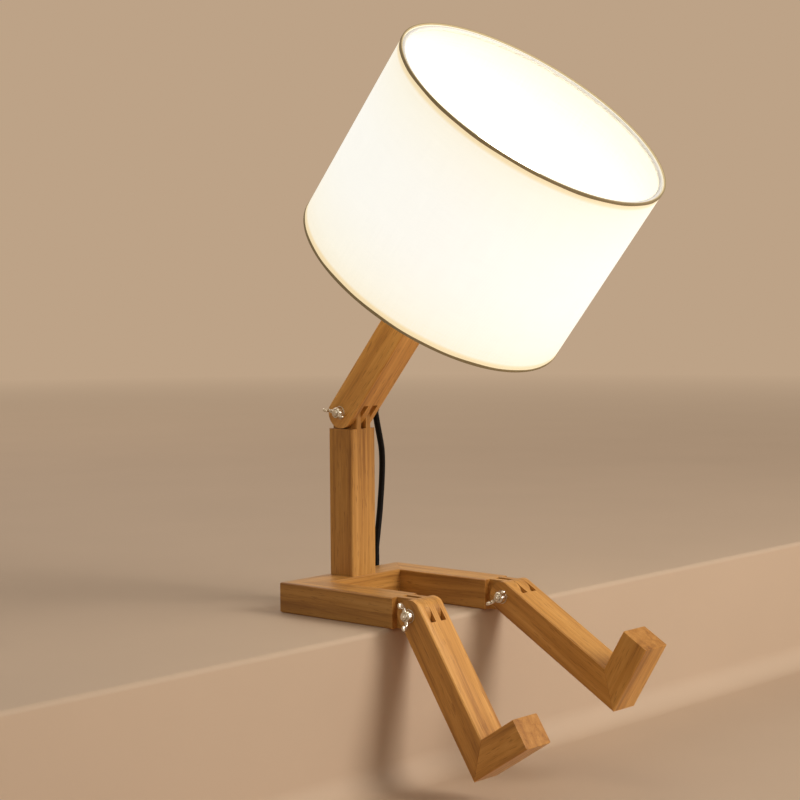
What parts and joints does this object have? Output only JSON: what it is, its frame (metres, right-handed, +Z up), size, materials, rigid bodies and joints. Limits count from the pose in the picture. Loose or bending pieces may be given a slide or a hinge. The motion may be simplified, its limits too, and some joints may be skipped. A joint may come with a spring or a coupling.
{
  "type": "robot shaped desk lamp",
  "caption": "Desk lamp shaped like a seated wooden robot: U-shaped seat, post torso, tilting neck with a drum shade as its head, and swinging legs with mitred feet on wing nut hinges.",
  "frame": {"origin": "on the seat's underside, under the middle of the torso post: the seat's underside is the plane z = 0 and rests on a shelf's or desk's edge", "axes": "+Z up, the robot faces -Y, its right hand is at -X"},
  "size_m": [0.256, 0.3533, 0.5306],
  "materials": {
    "wood": "clear satin varnish",
    "bright_hardware": "bright plated",
    "screw_steel": "plain zinc",
    "holder_plastic": "satin moulded",
    "ceramic": "glazed",
    "brass": "bright",
    "white_wire": "white powder coat",
    "shade_fabric": "woven, lined",
    "shade_tape": "woven tape",
    "bulb_cap_metal": "bright rolled",
    "bulb_glass": "frosted",
    "cord_plastic": "soft matte"
  },
  "bodies": {
    "seat": {"crossbar": "wood", "right_arm": "wood", "left_arm": "wood", "torso_post": "wood", "mitre_dowels": "wood", "post_screws": "screw_steel", "cord_drop": "cord_plastic", "cord_coil": "cord_plastic", "cord_tail": "cord_plastic", "plug_body": "cord_plastic", "plug_blades": "brass"},
    "neck": {"neck_bar": "wood", "neck_bolt": "bright_hardware", "neck_washer": "bright_hardware", "holder_nipple": "screw_steel", "holder_cap": "holder_plastic", "holder_shell": "holder_plastic", "holder_core": "ceramic", "holder_contact": "brass", "shade_ring_nut": "holder_plastic", "fitter_ring": "white_wire", "shade_spider": "white_wire", "bottom_ring": "white_wire", "shade_fabric": "shade_fabric", "top_ring": "white_wire", "top_trim": "shade_tape", "bottom_trim": "shade_tape", "bulb_cap": "bulb_cap_metal", "bulb_globe": "bulb_glass", "cord_gland": "cord_plastic", "inner_lead": "cord_plastic"},
    "right_leg": {"right_shin": "wood", "right_foot": "wood", "right_foot_dowels": "wood", "right_hip_bolt": "bright_hardware", "right_hip_washer": "bright_hardware"},
    "left_leg": {"left_shin": "wood", "left_foot": "wood", "left_foot_dowels": "wood", "left_hip_bolt": "bright_hardware", "left_hip_washer": "bright_hardware"},
    "neck_nut": {"neck_wing_nut": "bright_hardware"},
    "right_nut": {"right_wing_nut": "bright_hardware"},
    "left_nut": {"left_wing_nut": "bright_hardware"},
    "switch": {"switch_knob": "holder_plastic"}
  },
  "joints": [
    {"name": "neck_tilt", "type": "hinge", "parent": "seat", "child": "neck", "pos_m": [0, 0, 0.147], "axis": [1, 0, 0], "range_deg": [-129, 46], "deforming": ["cord_drop"]},
    {"name": "right_hip", "type": "hinge", "parent": "seat", "child": "right_leg", "pos_m": [-0.0525, -0.1145, 0.01125], "axis": [1, 0, 0], "range_deg": [-57, 33]},
    {"name": "left_hip", "type": "hinge", "parent": "seat", "child": "left_leg", "pos_m": [0.0525, -0.1145, 0.01125], "axis": [1, 0, 0], "range_deg": [-30.5, 59.5]},
    {"name": "neck_nut_turn", "type": "hinge", "parent": "neck", "child": "neck_nut", "pos_m": [-0.0195, 0, 0.147], "axis": [-1, 0, 0], "continuous": true},
    {"name": "right_nut_turn", "type": "hinge", "parent": "right_leg", "child": "right_nut", "pos_m": [-0.0725, -0.1145, 0.01125], "axis": [-1, 0, 0], "continuous": true},
    {"name": "left_nut_turn", "type": "hinge", "parent": "left_leg", "child": "left_nut", "pos_m": [0.0325, -0.1145, 0.01125], "axis": [-1, 0, 0], "continuous": true},
    {"name": "switch_turn", "type": "hinge", "parent": "neck", "child": "switch", "pos_m": [-0.024, -0.08401, 0.25075], "axis": [-1, 0, 0], "continuous": true}
  ]
}
